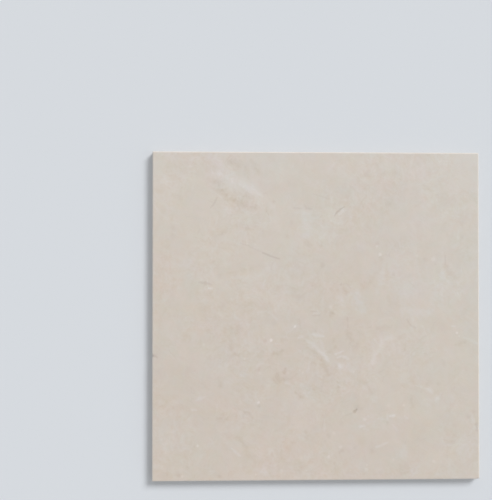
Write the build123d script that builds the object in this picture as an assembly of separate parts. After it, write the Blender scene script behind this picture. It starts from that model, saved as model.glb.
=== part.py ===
from build123d import *
import os

# Square marble floor tile, one piece of stone, lying on its sawn back with the
# polished face up. X and Y run along its edges and Z up through the face, from an
# origin at the centre of the back.

# Driving dimensions, in millimetres
edge_length_x = 305.0  # face, edge to edge along X: the one-foot module
edge_length_y = 305.0  # face, edge to edge along Y
calibrated_thickness = 10.0  # ground back to polished face
arris_run = 0.8  # how far the arris reaches in over the polished face
arris_drop = 0.8  # how far the arris comes down each sawn edge


def sawn_blank():
    """The blank as it leaves the saw: cut square and calibrated, with sharp edges."""
    outline = Rectangle(edge_length_x, edge_length_y)
    return extrude(outline, amount=calibrated_thickness)


def arrised(blank):
    """The blank with the sharp edges of its face ground off, mitred at the corners."""
    face = blank.faces().sort_by(Axis.Z)[-1]
    return chamfer(face.edges(), arris_run, length2=arris_drop, reference=face)


def marble_tile():
    """The finished tile."""
    tile = arrised(sawn_blank())
    tile.label = "marble_tile"
    return tile


os.makedirs("parts", exist_ok=True)
export_step(marble_tile(), "parts/marble_tile.step")
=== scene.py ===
"""A square marble floor tile, one piece of stone, lying on its back with the polished face up.

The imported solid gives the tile's place and size. This script makes the stone that shows: the
polished face with its natural pits, the ground arris round it, the four sawn edges and the
calibrated back, and the marble that runs through all of them. Sizes are in millimetres where a
name ends in _mm, and otherwise in metres.
"""

import logging
import math
from dataclasses import dataclass, field
from enum import Enum

import bmesh
import bpy
from mathutils import Matrix, Vector, noise


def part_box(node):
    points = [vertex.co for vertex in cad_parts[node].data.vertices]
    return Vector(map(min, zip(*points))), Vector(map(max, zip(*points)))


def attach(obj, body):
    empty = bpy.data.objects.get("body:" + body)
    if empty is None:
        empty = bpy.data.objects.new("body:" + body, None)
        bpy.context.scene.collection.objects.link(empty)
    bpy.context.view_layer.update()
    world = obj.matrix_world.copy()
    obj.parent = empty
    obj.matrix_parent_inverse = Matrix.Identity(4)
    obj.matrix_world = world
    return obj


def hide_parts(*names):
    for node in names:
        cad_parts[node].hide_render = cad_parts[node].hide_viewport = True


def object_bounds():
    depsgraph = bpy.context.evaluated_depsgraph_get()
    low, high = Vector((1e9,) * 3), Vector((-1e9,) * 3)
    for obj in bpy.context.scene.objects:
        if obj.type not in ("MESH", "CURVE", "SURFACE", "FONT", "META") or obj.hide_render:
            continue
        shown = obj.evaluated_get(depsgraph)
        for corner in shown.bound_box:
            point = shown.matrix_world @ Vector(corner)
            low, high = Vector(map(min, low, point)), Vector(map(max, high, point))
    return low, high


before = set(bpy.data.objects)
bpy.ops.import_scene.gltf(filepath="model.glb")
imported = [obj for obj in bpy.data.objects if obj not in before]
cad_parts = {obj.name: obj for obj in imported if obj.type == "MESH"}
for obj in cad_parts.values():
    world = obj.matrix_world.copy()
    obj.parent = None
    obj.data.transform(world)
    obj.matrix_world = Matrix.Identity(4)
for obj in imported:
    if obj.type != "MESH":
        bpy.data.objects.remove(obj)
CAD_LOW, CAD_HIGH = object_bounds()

log = logging.getLogger("marble_tile")

MM = 0.001
UP = Vector((0.0, 0.0, 1.0))
SAME_PLACE = 0.001 * MM

Inputs = dict[str | int, object]
Point = tuple[float, float, float]


class Wiring:
    """Adds nodes to one node tree and joins them."""

    def __init__(self, tree: bpy.types.NodeTree) -> None:
        """Keeps the tree that the nodes go into."""
        self.tree = tree

    def node(self, kind: str, given: Inputs | None = None, **settings: object) -> bpy.types.Node:
        """Adds a node.

        Args:
            kind: the node's type, such as ShaderNodeMath.
            given: its inputs by name or number, each a link from another node or a plain value.
            **settings: its properties, by their names.

        Returns:
            The new node.
        """
        made = self.tree.nodes.new(kind)
        for name, value in settings.items():
            setattr(made, name, value)
        for name, value in (given or {}).items():
            self.feed(made.inputs[name], value)
        return made

    def feed(self, target: bpy.types.NodeSocket, value: object) -> None:
        """Gives an input its value: a link from another node, or a plain number or colour.

        Args:
            target: the input.
            value: another node's output, or the number or colour.
        """
        if isinstance(value, bpy.types.NodeSocket):
            self.tree.links.new(value, target)
        else:
            target.default_value = value

    def math(self, operation: str, *values: object) -> bpy.types.NodeSocket:
        """Works out one number from one to three others."""
        return self.node("ShaderNodeMath", dict(enumerate(values)), operation=operation).outputs[0]

    def vector(self, operation: str, *values: object) -> bpy.types.NodeSocket:
        """Works out one vector, or one number where the operation gives a number."""
        made = self.node("ShaderNodeVectorMath", dict(enumerate(values)), operation=operation)
        return made.outputs["Value" if operation in {"LENGTH", "DOT_PRODUCT"} else "Vector"]

    def scaled(self, what: object, by: object) -> bpy.types.NodeSocket:
        """A vector made longer or shorter by a number."""
        return self.node("ShaderNodeVectorMath", {0: what, "Scale": by}, operation="SCALE").outputs["Vector"]

    def parts(self, kind: str, whole: object) -> bpy.types.bpy_prop_collection:
        """The parts of a vector or a colour, from a node that takes it apart."""
        return self.node(kind, {0: whole}).outputs

    def span(self, value: object, low: float, high: float, to_low: float = 0.0, to_high: float = 1.0,
             smooth: bool = True) -> bpy.types.NodeSocket:
        """Carries a number from one range to another, held at the ends.

        Args:
            value: the number.
            low: where the range starts.
            high: where it ends.
            to_low: what low becomes.
            to_high: what high becomes.
            smooth: whether the change eases in and out.

        Returns:
            The output that holds the result.
        """
        given = {"Value": value, "From Min": low, "From Max": high, "To Min": to_low, "To Max": to_high}
        kind = "SMOOTHSTEP" if smooth else "LINEAR"
        made = self.node("ShaderNodeMapRange", given, interpolation_type=kind, clamp=not smooth)
        return made.outputs["Result"]

    def cloud(self, at: object, size_mm: float, detail: float = 0.0, roughness: float = 0.5,
              shift: Point = (0.0, 0.0, 0.0), output: str = "Fac") -> bpy.types.NodeSocket:
        """Soft noise whose lumps are about one size.

        Args:
            at: the point, in millimetres.
            size_mm: how wide a lump is.
            detail: how many finer layers lie on it.
            roughness: how strong those layers are.
            shift: where the pattern starts, so that two clouds differ.
            output: Fac for one number, or Color for three.

        Returns:
            The output that holds the noise, which averages a half.
        """
        moved = self.vector("ADD", self.scaled(at, 1.0 / size_mm), shift)
        given = {"Vector": moved, "Scale": 1.0, "Detail": detail, "Roughness": roughness}
        return self.node("ShaderNodeTexNoise", given).outputs[output]


class StoneWiring(Wiring):
    """Wiring that knows the place in the stone, and holds the colour's factor while layers are added."""

    def __init__(self, tree: bpy.types.NodeTree, level: float) -> None:
        """Measures the place in the stone in millimetres, from a height.

        Args:
            tree: the material's nodes.
            level: the height that places are measured from, in metres.
        """
        super().__init__(tree)
        place = self.node("ShaderNodeTexCoord").outputs["Object"]
        raised = self.vector("SUBTRACT", place, (0.0, 0.0, level))
        self.point = self.scaled(raised, 1.0 / MM)
        self.change: object = (1.0, 1.0, 1.0)

    def add(self, hue: object, amount: object) -> None:
        """Adds a hue to the colour's factor, by an amount."""
        self.change = self.vector("ADD", self.scaled(hue, amount), self.change)


@dataclass(frozen=True)
class MineralLook:
    """How one mineral of the figure shows in the ground.

    Args:
        shift: the share that full strength adds to red, green and blue.
        outer: where a mark fades out, in half widths from its middle line.
        inner: where it is full, in half widths.
        ragged: how far its rim is broken up, in half widths.
        wander_mm: how far it strays from a straight line.
        upright: how fast it changes with depth: 1 for a grain, near 0 for a sheet.
        streaky: how far it is broken into fibres, from 0 to 1.
    """

    shift: tuple[float, float, float]
    outer: float
    inner: float
    ragged: float
    wander_mm: float
    upright: float
    streaky: float


class Mineral(Enum):
    """What the marks of the figure are made of."""

    CALCITE = MineralLook((0.66, 1.00, 1.62), 1.75, -0.10, 1.2, 0.9, 0.12, 0.45)
    GRAIN = MineralLook((0.93, 1.07, 1.45), 1.40, 0.30, 0.5, 0.4, 1.0, 0.0)
    PALE_CLOUD = MineralLook((0.42, 0.84, 1.66), 1.90, -0.30, 1.6, 2.0, 0.25, 0.15)
    BROWN_CLOUD = MineralLook((-0.72, -0.97, -1.30), 1.95, -0.35, 1.7, 0.9, 0.25, 0.20)
    SPOT = MineralLook((-0.72, -0.97, -1.16), 1.75, -0.10, 1.1, 0.8, 0.6, 0.0)
    HAIR = MineralLook((-0.89, -1.12, -1.15), 1.35, 0.25, 0.4, 0.35, 0.05, 0.15)
    RUST = MineralLook((-0.86, -1.00, -1.14), 1.30, 0.25, 0.3, 0.2, 0.6, 0.0)


@dataclass(frozen=True)
class Mark:
    """One vein, blotch, hair or grain of the figure.

    Args:
        strength: how much it changes the ground, as a share.
        route: its points on the face, each as X, Y and half width in millimetres.
    """

    strength: float
    route: tuple[Point, ...]


def mark(strength: float, *route: Point) -> Mark:
    """A mark from its strength and its points."""
    return Mark(strength, route)


def blots(*given: tuple[float, float, float, float]) -> tuple[Mark, ...]:
    """Marks of one point, each from its strength, X, Y and half width."""
    return tuple(mark(strength, (x, y, width)) for strength, x, y, width in given)


# The figure's marks, placed over the face, each mineral's from the top edge down
FIGURE: dict[Mineral, tuple[Mark, ...]] = {
    Mineral.CALCITE: (
        mark(0.062, (-101, 131, 2.8), (-93, 131.5, 4.2), (-80, 127, 5.8), (-70, 122.5, 5.8),
             (-61, 118.5, 5.8), (-50, 110.5, 2.4)),
        mark(0.094, (-72, 122.5, 2.2), (-64, 119, 4.6), (-58, 116, 3.8), (-53, 112.5, 1.8)),
        mark(0.090, (-97, 132.5, 1.8), (-92, 132, 2.8), (-85, 129.5, 1.8)),
        mark(0.045, (-94, 114, 0.6), (-83, 104.5, 0.8)),
        mark(0.070, (115, 144.3, 0.9), (123, 144.3, 0.9)),
        mark(0.045, (117, 141.3, 0.9), (122, 141.3, 0.9)),
        mark(0.042, (-19, 96, 1.4), (-12, 96.5, 2.4), (-5, 95.5, 1.6)),
        mark(0.105, (21, 94.5, 1.3), (25, 97.6, 1.8)),
        mark(0.045, (11.5, 93, 1.2), (13.5, 88.5, 1.2)),
        mark(0.045, (-99.5, 53, 0.8), (-94.5, 53.6, 0.8)),
        mark(0.160, (-100.6, 25.7, 1.0), (-97.2, 25.7, 1.0)),
        mark(0.035, (71, 36.5, 0.6), (77, 35, 0.6)),
        mark(0.035, (80, 32.4, 0.6), (90, 31, 0.6)),
        mark(0.032, (-3, 2.4, 0.8), (4, 2.6, 0.8)),
        mark(0.055, (-55, 3.2, 0.7), (-47, 4.4, 1.0), (-42, 1.5, 1.2), (-37, -3, 0.8)),
        mark(0.095, (127, -10, 1.0), (130, -10, 1.0)),
        mark(0.100, (-17.5, -20.2, 1.0), (-14, -19.2, 1.6)),
        mark(0.110, (-3, -16.8, 1.6), (1, -18.4, 1.8), (6.5, -19.3, 1.0)),
        mark(0.085, (-9, -23, 1.4), (-4, -26.5, 2.1), (1, -31.5, 1.9)),
        mark(0.135, (1.5, -32.5, 1.6), (5.5, -34.7, 2.6), (8.5, -38.5, 2.0), (11, -42, 1.0)),
        mark(0.060, (3.5, -23, 1.2), (5.5, -28, 1.8), (7.5, -33, 1.2)),
        mark(0.030, (3.5, -13, 1.0), (6.5, -15, 1.4)),
        mark(0.115, (17.8, -35.3, 1.3), (20.5, -34.4, 0.8), (24.5, -33, 0.6)),
        mark(0.100, (19, -38.7, 0.7), (23, -37.6, 0.9), (27.3, -38.6, 1.5), (29.8, -40.2, 0.8)),
        mark(0.125, (21.2, -45.8, 2.0), (21.4, -48.4, 2.2)),
        mark(0.080, (52, -44, 2.2), (54, -36, 2.9), (57, -32, 3.1), (60, -27.5, 2.9), (61.5, -23.5, 2.3)),
        mark(0.040, (61.5, -23.5, 2.3), (66, -21.5, 2.4), (75, -20.5, 2.0)),
        mark(0.060, (138, -20.5, 0.9), (144, -22.5, 1.4), (152, -27, 1.4)),
        mark(0.035, (-56, -46, 1.1), (-50, -44.3, 1.3), (-44, -46, 1.0)),
        mark(0.050, (-38, -26, 0.8), (-34.5, -26.6, 0.8)),
        mark(0.050, (-29, -62, 1.4), (-24, -64, 1.2)),
        mark(0.085, (102, -67.6, 1.2), (105.5, -68.8, 2.7), (107.5, -71.5, 1.8)),
        mark(0.075, (-112, -78, 1.2), (-108, -76, 2.0), (-103, -74.5, 0.9)),
        mark(0.028, (101, -78.5, 1.0), (108, -78, 1.2)),
        mark(0.085, (112, -77, 2.6)),
        mark(0.105, (-115.5, -86.8, 1.3), (-111.5, -87, 0.9)),
        mark(0.150, (68.5, -93.3, 1.3), (72, -92.9, 1.8)),
        mark(0.070, (65.8, -91.5, 1.0), (66.2, -96.5, 1.4)),
        mark(0.055, (57.5, -95, 1.1), (62, -96.4, 1.0)),
        mark(0.070, (82.3, -93, 0.9), (84.6, -95, 1.3)),
        mark(0.065, (145, -92, 1.3), (146.5, -99, 1.9)),
        mark(0.042, (71, -101.5, 0.9), (74.7, -106, 1.4)),
        mark(0.115, (40.6, -103, 1.5), (43.8, -102.4, 1.4)),
        mark(0.050, (44, -104.5, 0.9), (48, -106, 0.9)),
        mark(0.045, (7, -92, 0.8), (7, -107, 0.8)),
        mark(0.045, (-136, -107, 0.8), (-131, -106.2, 0.8)),
        mark(0.080, (55.5, -122, 1.0), (61.5, -119.8, 1.4), (66.5, -118, 0.8)),
        mark(0.080, (-79, -122.5, 0.9), (-75.5, -126, 1.5), (-71.5, -129, 1.2)),
        mark(0.040, (-52, -144, 3.4), (-49, -144, 3.4)),
    ),
    Mineral.GRAIN: blots(
        (0.050, -118, 139, 1.2), (0.050, -64.5, 67, 1.2), (0.080, 56.5, 64.5, 1.3), (0.045, -57, 66.5, 1.2),
        (0.115, 59.5, 57, 1.7), (0.060, 109, 52.6, 2.3), (0.050, 94, 55.5, 1.4), (0.022, 125, 77, 1.6),
        (0.032, 133, 73, 1.6), (0.050, 13, 8.5, 1.8), (0.150, -20.3, -9.8, 1.3), (0.125, 131.5, -16, 1.4),
        (0.055, 133.5, -19.2, 1.0), (0.175, -42.5, -22.6, 1.6), (0.045, -105, -26.5, 1.4),
        (0.080, -67, -39.5, 1.3), (0.085, -13, -52.5, 1.3), (0.045, -16, -50.8, 1.2),
        (0.055, -53, -53, 1.7), (0.045, -27, -53, 1.3), (0.032, -45, -65, 1.9), (0.135, -54, -80, 1.4),
        (0.060, 81.5, -83.5, 1.5), (0.045, 67, -83.5, 1.8), (0.045, 24, -91, 1.6), (0.075, 45, -96, 1.9),
        (0.032, 48, -93.3, 1.2), (0.045, 16, -109, 1.6), (0.095, -110.5, -120, 1.4),
        (0.050, -117, -125, 1.4), (0.055, 22, -121.5, 1.8), (0.110, 11.2, -130.6, 1.5),
        (0.055, -15, -131.5, 2.3), (0.040, 71.5, -134, 1.5), (0.065, 109.4, -135.5, 1.7),
        (0.055, 46.5, -138.5, 1.2), (0.060, 46.4, -142.5, 2.0), (0.035, -32.5, -143.2, 1.5),
        (0.050, 12, -144.5, 1.4), (0.075, -56.6, -146.5, 1.1), (0.085, -124.8, -148, 1.2),
    ),
    Mineral.PALE_CLOUD: (
        mark(0.055, (-98, 147, 3.4), (-91, 142, 4.0), (-87, 137.5, 2.8)),
        mark(0.038, (-141, 127, 3.4)),
        mark(0.028, (-139, 115, 4.5), (-138, 100, 4.5)),
        mark(0.045, (-12, 93, 4.5), (-10, 85, 5.0), (-9, 76, 4.0)),
        mark(0.024, (100, 103, 2.0), (112, 107, 2.6)),
        mark(0.038, (62, 45, 1.8), (61, 36, 3.2), (60, 28, 3.6), (57, 22, 2.4)),
        mark(0.065, (120, 42, 1.8), (117.5, 36.5, 3.0)),
        mark(0.035, (-79, 35.5, 1.8), (-68, 34.5, 2.6), (-60, 35, 3.0), (-50, 40, 3.4)),
        mark(0.045, (-43, 43, 6.0)),
        mark(0.030, (84, 24, 14.0), (104, 22, 14.0)),
        mark(0.065, (37, 19, 3.8), (39, 12, 5.2), (42, 4, 3.2)),
        mark(0.062, (24, 15.5, 4.6)),
        mark(0.055, (82, 6, 5.0), (92, 3, 6.0), (101, 1, 4.0), (106, 4, 3.0)),
        mark(0.026, (-77, -3, 4.0), (-66, -7, 3.2)),
        mark(0.028, (51, -25, 3.6), (60, -19, 3.6), (69, -19, 3.0)),
        mark(0.055, (24, -47.5, 3.2), (33, -48, 3.2)),
        mark(0.035, (-84, -45, 3.4)), mark(0.070, (-67, -53, 3.6)), mark(0.020, (82, -58.5, 3.6)),
        mark(0.040, (-82, -61, 3.2)), mark(0.050, (44, -67, 2.8)), mark(0.045, (53, -76, 3.6)),
        mark(0.035, (103, -81, 4.0)),
        mark(0.020, (38, -100, 6.0), (52, -97, 5.0)),
        mark(0.028, (-147, -114, 2.6), (-139, -122, 3.0), (-126, -118, 3.4)),
        mark(0.050, (138, -120, 7.0)),
        mark(0.050, (82, -123, 3.6), (78.5, -129, 4.4)),
        mark(0.040, (39, -138, 5.0)), mark(0.028, (-46, -142, 5.0)), mark(0.022, (57, -146, 5.0)),
        mark(0.045, (90, -146, 4.0)),
    ),
    Mineral.BROWN_CLOUD: (
        mark(0.100, (-80, 143.5, 3.4), (-73.5, 140.5, 4.2)),
        mark(0.050, (-66, 138, 2.6), (-64, 129, 2.4)),
        mark(0.066, (-60, 144, 1.8), (-56.5, 137, 2.8), (-53.5, 133, 2.2)),
        mark(0.080, (-95, 124.5, 2.4), (-90, 124, 3.2)),
        mark(0.080, (-92.5, 117.5, 3.8), (-86, 114.5, 3.8)),
        mark(0.115, (-88.5, 117, 1.8), (-85.3, 112.5, 2.8), (-83, 108, 2.0)),
        mark(0.085, (-79, 108, 4.2), (-70, 106, 6.0), (-62, 103, 4.6)),
        mark(0.135, (-76.5, 107.5, 2.4), (-71.5, 104, 3.8), (-67, 102.5, 2.6)),
        mark(0.115, (-64, 101.5, 2.4), (-58, 101, 2.4)),
        mark(0.048, (-76, 114, 2.8), (-67, 110.5, 4.8), (-61, 110, 3.6)),
        mark(0.050, (-80, 103.5, 1.8), (-76, 99, 1.8)),
        mark(0.045, (-131, 111.5, 2.4), (-126, 108.5, 1.6)),
        mark(0.055, (100.5, 122.3, 1.3), (103.5, 119, 2.0), (107, 116.5, 1.2)),
        mark(0.045, (99, 106, 1.2), (92, 101, 1.6)),
        mark(0.060, (-11, 69, 1.4), (-9.5, 66.5, 2.2), (-5.5, 65.5, 1.6)),
        mark(0.060, (-68, 43.4, 2.2)), mark(0.070, (-60, 44, 2.6)),
        mark(0.050, (-82, 40, 1.6), (-76, 38.5, 1.8)),
        mark(0.035, (59, 43, 1.6), (55, 39.5, 2.2), (49, 34, 2.2)),
        mark(0.050, (50, 31, 2.0), (44, 28, 4.2)),
        mark(0.075, (120.2, 47, 1.8), (123.5, 42, 2.8), (127, 36.8, 2.6)),
        mark(0.090, (26, 24.6, 2.2), (27.6, 21.4, 2.2)),
        mark(0.050, (66, 18, 1.8), (69, 11, 2.0)),
        mark(0.055, (-16, -3.5, 1.5), (-15.5, -11, 1.5)),
        mark(0.050, (-82, -12, 3.6), (-75, -13.5, 4.6)),
        mark(0.062, (56.5, -11.8, 1.3), (63, -11.3, 2.6), (69.5, -10.5, 1.6)),
        mark(0.070, (28, -14.5, 1.8), (30, -19, 2.8), (32.5, -22.5, 1.6)),
        mark(0.055, (130.5, -27.3, 1.8), (135, -25.6, 1.8), (139.5, -25, 1.0)),
        mark(0.065, (-80.5, -22, 2.2), (-79.5, -29, 2.8)),
        mark(0.030, (-9, -30, 1.4), (-5, -32.5, 1.6)),
        mark(0.055, (10.8, -34.2, 1.3), (13.5, -32, 2.0), (16.8, -28.8, 1.6)),
        mark(0.095, (-40, -34.5, 1.6), (-35.5, -34.2, 2.3), (-32.8, -32.2, 1.3)),
        mark(0.045, (-71, -35.8, 2.2), (-63, -35.2, 2.2)),
        mark(0.090, (4.3, -41.3, 1.8), (6, -45, 2.9), (9, -50, 2.6), (10.8, -54.5, 1.5)),
        mark(0.045, (-49.5, -50.2, 1.0), (-43.5, -47, 1.0)),
        mark(0.105, (-29.4, -49.2, 1.0), (-30.6, -53, 1.5)),
        mark(0.098, (-40, -58.8, 2.0), (-34.3, -59.6, 3.0), (-29, -58.4, 2.0)),
        mark(0.050, (-25, -58.6, 1.0), (-18.5, -54.2, 1.0)),
        mark(0.055, (-92, -58.5, 2.0), (-90, -61, 2.4), (-88.5, -65, 1.8)),
        mark(0.080, (19.6, -61.4, 1.4), (20.2, -64.8, 1.7), (19.6, -69.5, 1.2)),
        mark(0.050, (39.5, -61.3, 1.3), (46, -62.3, 1.3), (48.5, -67, 1.3), (51, -71.5, 1.6)),
        mark(0.030, (101.5, -66.5, 1.3), (106, -61.6, 2.5)),
        mark(0.045, (-8.5, -68.6, 1.2), (-3, -67, 1.7), (3.5, -66.4, 1.2)),
        mark(0.078, (-19.2, -71.3, 1.4), (-16.6, -74.5, 2.0), (-12.6, -75.6, 1.1)),
        mark(0.060, (89, -76, 1.5), (89, -84.5, 1.4)),
        mark(0.065, (-92, -96, 1.6), (-88, -94.5, 2.6), (-84, -95.5, 1.4)),
        mark(0.090, (-67.5, -89, 1.2), (-62.6, -90.4, 1.7), (-59.8, -94, 1.2)),
        mark(0.060, (-85, -109.5, 2.0), (-79.5, -112.3, 2.4), (-72, -112.5, 1.8)),
        mark(0.080, (-71.5, -114.5, 1.2), (-68, -118, 2.0), (-64.8, -121.8, 1.7)),
        mark(0.042, (-67, -124, 2.4), (-65, -128, 3.2), (-60.5, -130, 2.6)),
        mark(0.065, (-10, -107, 1.4), (-10, -115, 1.4)),
    ),
    Mineral.SPOT: blots(
        (0.050, 47, 131, 2.0), (0.045, 74, 132.5, 2.4), (0.040, 63, 133, 2.6), (0.045, -26, 124, 1.6),
        (0.080, -40, 105.5, 1.8), (0.045, -47, 103, 1.7), (0.050, 17.5, 104.5, 1.5), (0.050, 67, 104, 2.8),
        (0.035, -143, 97, 3.4), (0.045, -23.5, 87, 1.6), (0.045, 137, 86, 2.5), (0.065, -133.5, 82, 3.0),
        (0.090, -65, 81.5, 2.0), (0.055, 120, 82.5, 3.2), (0.050, -50, 78, 1.8), (0.050, -133.5, 74, 2.4),
        (0.065, 136.5, 73.6, 1.8), (0.055, -28, 74.5, 2.0), (0.065, 57, 67.5, 1.6), (0.045, 4, 65.5, 1.4),
        (0.065, 60.3, 53, 2.0), (0.055, 101.5, 52, 2.1), (0.050, -96, 50.4, 1.3), (0.080, 5.6, 47.3, 2.2),
        (0.065, 72, 38.5, 1.6), (0.045, 87, 37, 2.0), (0.045, -90, 37.5, 2.6), (0.050, -98.6, 22, 1.3),
        (0.028, -22, 19.5, 2.0), (0.060, -17, 17, 2.6), (0.125, 14, 2.4, 2.6), (0.055, 8.3, 4, 1.8),
        (0.050, -40, -7, 2.6), (0.050, -1, -13.8, 1.4), (0.045, 77, -20, 1.9), (0.032, -32, -22, 2.1),
        (0.090, -47.6, -23, 1.9), (0.045, 16, -23, 1.9), (0.030, 36.5, -29.5, 2.4), (0.062, -1.2, -35, 2.5),
        (0.090, -75.8, -35.5, 2.4), (0.050, -4, -44, 3.4), (0.045, 119, -44, 2.6), (0.065, -54, -50, 2.6),
        (0.100, -37, -53.6, 1.8), (0.050, 14, -54, 1.6), (0.026, -121, -52.5, 5.0), (0.050, 114, -64, 2.3),
        (0.025, -105, -66, 4.2), (0.045, 128, -68, 2.0), (0.030, -74, -66, 4.0), (0.075, -69, -75, 1.9),
        (0.100, -53.7, -83.2, 1.6), (0.070, 147, -89.6, 1.8), (0.055, 142, -94.6, 1.8),
        (0.025, 6, -93, 1.4), (0.055, 66, -99.6, 1.3), (0.045, 128.5, -102.5, 2.2),
        (0.050, -38, -106.5, 1.5), (0.065, 11.3, -111.5, 2.0), (0.050, -23, -117, 1.7),
        (0.034, 42, -117, 4.2), (0.055, 127, -117.5, 2.4), (0.065, -113.6, -120.6, 1.1),
        (0.055, 35.5, -123, 1.6), (0.085, 23, -125.6, 2.0), (0.065, 52, -125.5, 2.8),
        (0.050, 122, -131.5, 1.6), (0.055, 16.5, -137, 1.2), (0.050, -119, -139.5, 2.1),
        (0.032, 80, -141, 4.2), (0.055, 16, -141.5, 1.3), (0.050, 60, -146, 2.1), (0.105, -128, -147, 2.2),
        (0.100, -90.2, -148.4, 1.7),
    ),
    Mineral.HAIR: (
        mark(0.070, (-98.8, 100.3, 0.8), (-95.5, 104, 1.1), (-92.8, 109.7, 0.9)),
        mark(0.026, (-100.5, 107, 0.8), (-96, 104.6, 0.9)),
        mark(0.145, (16.6, 92.8, 0.6), (18.8, 96.2, 1.0), (22, 99.2, 0.9), (26, 101.6, 0.5)),
        mark(0.030, (-4, 113.4, 0.8), (1, 112, 0.8), (11, 108.8, 1.1)),
        mark(0.055, (-21, 100.3, 1.0), (-14, 99.8, 0.9)),
        mark(0.050, (-11.3, 103.2, 0.8), (-9.5, 100.2, 1.3), (-4.5, 99.4, 0.8)),
        mark(0.042, (-71.5, 67.6, 0.8), (-64, 65.4, 0.9), (-57, 61.6, 1.0), (-50, 59, 0.9)),
        mark(0.112, (-50.5, 58.6, 0.9), (-46, 57.0, 1.1), (-40, 54.4, 1.1), (-35, 53, 0.8)),
        mark(0.060, (120.6, 56, 0.8), (120.6, 48, 0.9)),
        mark(0.080, (-109.5, 31.3, 0.9), (-103, 30.6, 1.7), (-97.5, 28.8, 0.9)),
        mark(0.030, (-122, 37, 0.7), (-119, 40, 0.7), (-116, 37, 0.7), (-119, 34, 0.7), (-122, 37, 0.7)),
        mark(0.045, (22, 29, 1.0), (28, 29.6, 1.0), (31.5, 25.5, 0.9)),
        mark(0.055, (-5.5, 4.3, 0.8), (0, 3.8, 0.7)),
        mark(0.050, (-4, 0.4, 0.8), (3, 0.6, 0.7)),
        mark(0.050, (28.6, -1.5, 0.9), (29, -10.5, 1.0)),
        mark(0.055, (84.3, -3.5, 1.0), (88, -9, 1.0), (92.5, -11.3, 1.0)),
        mark(0.080, (-153, -35.6, 1.4), (-149.6, -37, 1.3), (-147.4, -38.6, 0.8)),
        mark(0.026, (7, -57, 1.1), (4.2, -70, 1.2)),
        mark(0.045, (33, -90.6, 1.1), (27, -92.6, 0.9)),
        mark(0.035, (9, -87, 0.8), (4.5, -104, 0.8)),
        mark(0.085, (149.5, -101, 1.4), (150.5, -107, 1.4)),
    ),
    Mineral.RUST: (
        mark(0.210, (35.2, -89.0, 1.9), (37.2, -87.1, 0.9)),
    ),
}


@dataclass(frozen=True)
class Mottle:
    """One layer of the ground's unevenness.

    Args:
        size_mm: how wide its lumps are.
        tone: how far they go paler and browner, as a share.
        blush: how far they go rosier and bluer, as a share.
        olive: how far they go greener and more lilac, as a share.
        detail: how many finer layers lie on it.
        start: where its pattern starts.
    """

    size_mm: float
    tone: float
    blush: float
    olive: float
    detail: float
    start: Point


@dataclass(frozen=True)
class Bend:
    """A soft noise that bends the patterns of the stone.

    Args:
        size_mm: how wide its lumps are.
        by_mm: how far it moves the pattern at most.
        detail: how many finer layers lie on it.
        roughness: how strong those layers are.
        start: where its pattern starts.
    """

    size_mm: float
    by_mm: float
    detail: float
    roughness: float
    start: Point

    def build(self, stone: StoneWiring) -> bpy.types.NodeSocket:
        """The place in the stone, moved by the noise."""
        soft = stone.cloud(stone.point, self.size_mm, self.detail, self.roughness, self.start, "Color")
        return stone.vector("MULTIPLY_ADD", soft, (self.by_mm,) * 3, stone.point)


@dataclass(frozen=True)
class Cracks:
    """One net of faint healed cracks.

    Args:
        size_mm: how far apart they run.
        width_mm: how wide one is.
        strength: how much it changes the ground, as a share.
        mineral: what has healed it.
        start: where its pattern starts.
    """

    size_mm: float
    width_mm: float
    strength: float
    mineral: Mineral
    start: Point


@dataclass(frozen=True)
class MarkNoise:
    """The noises that make every mark uneven.

    Args:
        stray: a colour that averages grey, which bends the marks.
        lumps: rounded lumps, which break up a rim.
        fibres: fibres that run the way of the veins, which break up a vein.
    """

    stray: bpy.types.NodeSocket
    lumps: bpy.types.NodeSocket
    fibres: bpy.types.NodeSocket


def drawing_group(straight: bool) -> bpy.types.NodeTree:
    """The node group that draws one piece of a mark.

    Its nodes come in the order in which they are worked out, and none of them clamps, since a long
    chain of these groups otherwise needs more room than a shader has.

    Args:
        straight: whether the piece is a straight stretch, and otherwise a single blot.

    Returns:
        A group that gives the larger of what was drawn so far and this piece's strength here.
    """
    name = "mark_stretch" if straight else "mark_blot"
    group = bpy.data.node_groups.get(name)
    if group is not None:
        return group
    group = bpy.data.node_groups.new(name, "ShaderNodeTree")
    vectors = ["Point", "Start"]
    numbers = ["Half width", "Rim", "Outer", "Inner", "Strength", "So far"]
    if straight:
        vectors += ["Run", "Run by length squared"]
        numbers += ["Widening"]
    for kind, titles in (("NodeSocketVector", vectors), ("NodeSocketFloat", numbers)):
        for title in titles:
            group.interface.new_socket(title, in_out="INPUT", socket_type=kind)
    group.interface.new_socket("Drawn", in_out="OUTPUT", socket_type="NodeSocketFloat")
    wiring = Wiring(group)
    given = wiring.node("NodeGroupInput").outputs
    aside = wiring.vector("SUBTRACT", given["Point"], given["Start"])
    width = given["Half width"]
    if straight:
        share = wiring.vector("DOT_PRODUCT", aside, given["Run by length squared"])
        along = wiring.math("MINIMUM", wiring.math("MAXIMUM", share, 0.0), 1.0)
        aside = wiring.vector("SUBTRACT", aside, wiring.scaled(given["Run"], along))
        width = wiring.math("MULTIPLY_ADD", given["Widening"], along, given["Half width"])
    reach = wiring.math("DIVIDE", wiring.vector("LENGTH", aside), width)
    rim = wiring.math("ADD", reach, given["Rim"])
    cover = wiring.span(rim, given["Outer"], given["Inner"], 0.0, given["Strength"])
    drawn = wiring.math("MAXIMUM", cover, given["So far"])
    wiring.node("NodeGroupOutput", {"Drawn": drawn})
    return group


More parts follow.
